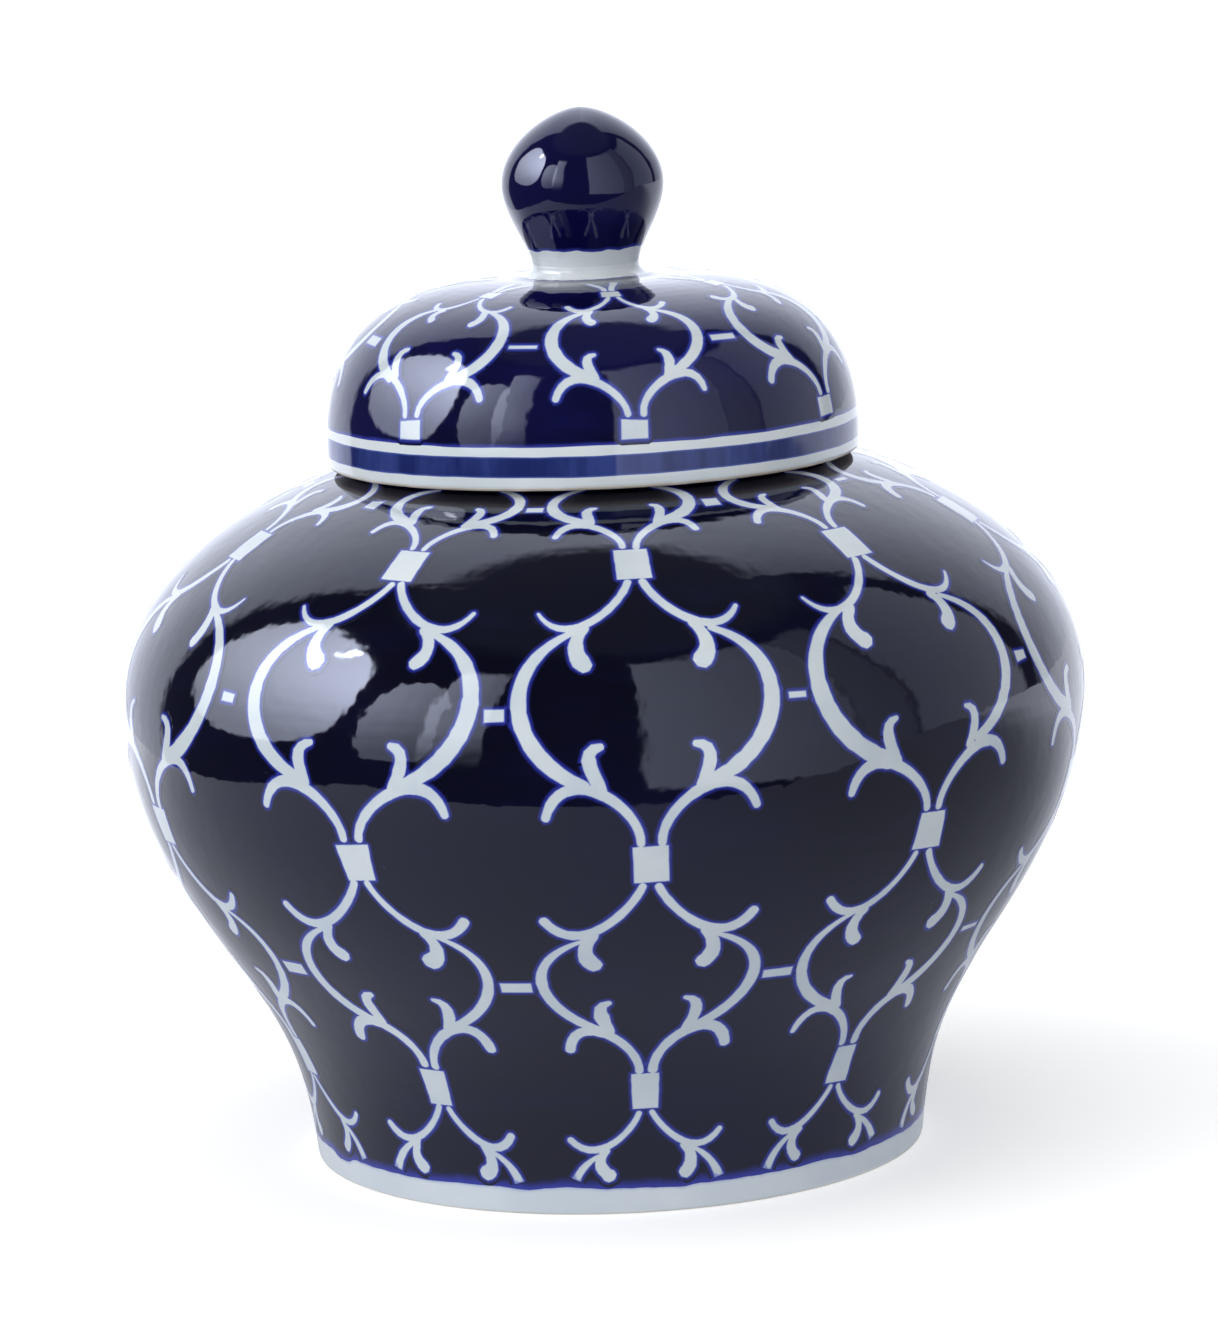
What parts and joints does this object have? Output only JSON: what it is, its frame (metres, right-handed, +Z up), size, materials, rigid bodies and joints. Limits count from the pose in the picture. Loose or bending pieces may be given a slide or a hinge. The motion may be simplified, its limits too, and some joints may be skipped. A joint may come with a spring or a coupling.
{
  "type": "ginger jar",
  "caption": "Lidded porcelain ginger jar: round belly on a narrow foot, domed cap lid with an onion-shaped knob, cobalt glaze with a white trellis.",
  "frame": {"origin": "centre of the foot ring, on the surface the jar stands on", "axes": "+Z up along the turning axis, from the foot to the knob; the object is round, and -Y faces the viewer"},
  "size_m": [0.24, 0.24, 0.2599],
  "materials": {
    "cobalt_glaze": "glossy cobalt under clear glaze",
    "white_glaze": "glossy white glaze",
    "biscuit": "unglazed matt porcelain"
  },
  "bodies": {
    "jar": {"jar_body": "cobalt_glaze"},
    "lid": {"lid": "cobalt_glaze", "knob": "cobalt_glaze"}
  },
  "joints": [
    {"name": "lid_lift", "type": "slide", "parent": "jar", "child": "lid", "axis": [0, 0, 1], "range_m": [0, 0.1]}
  ]
}
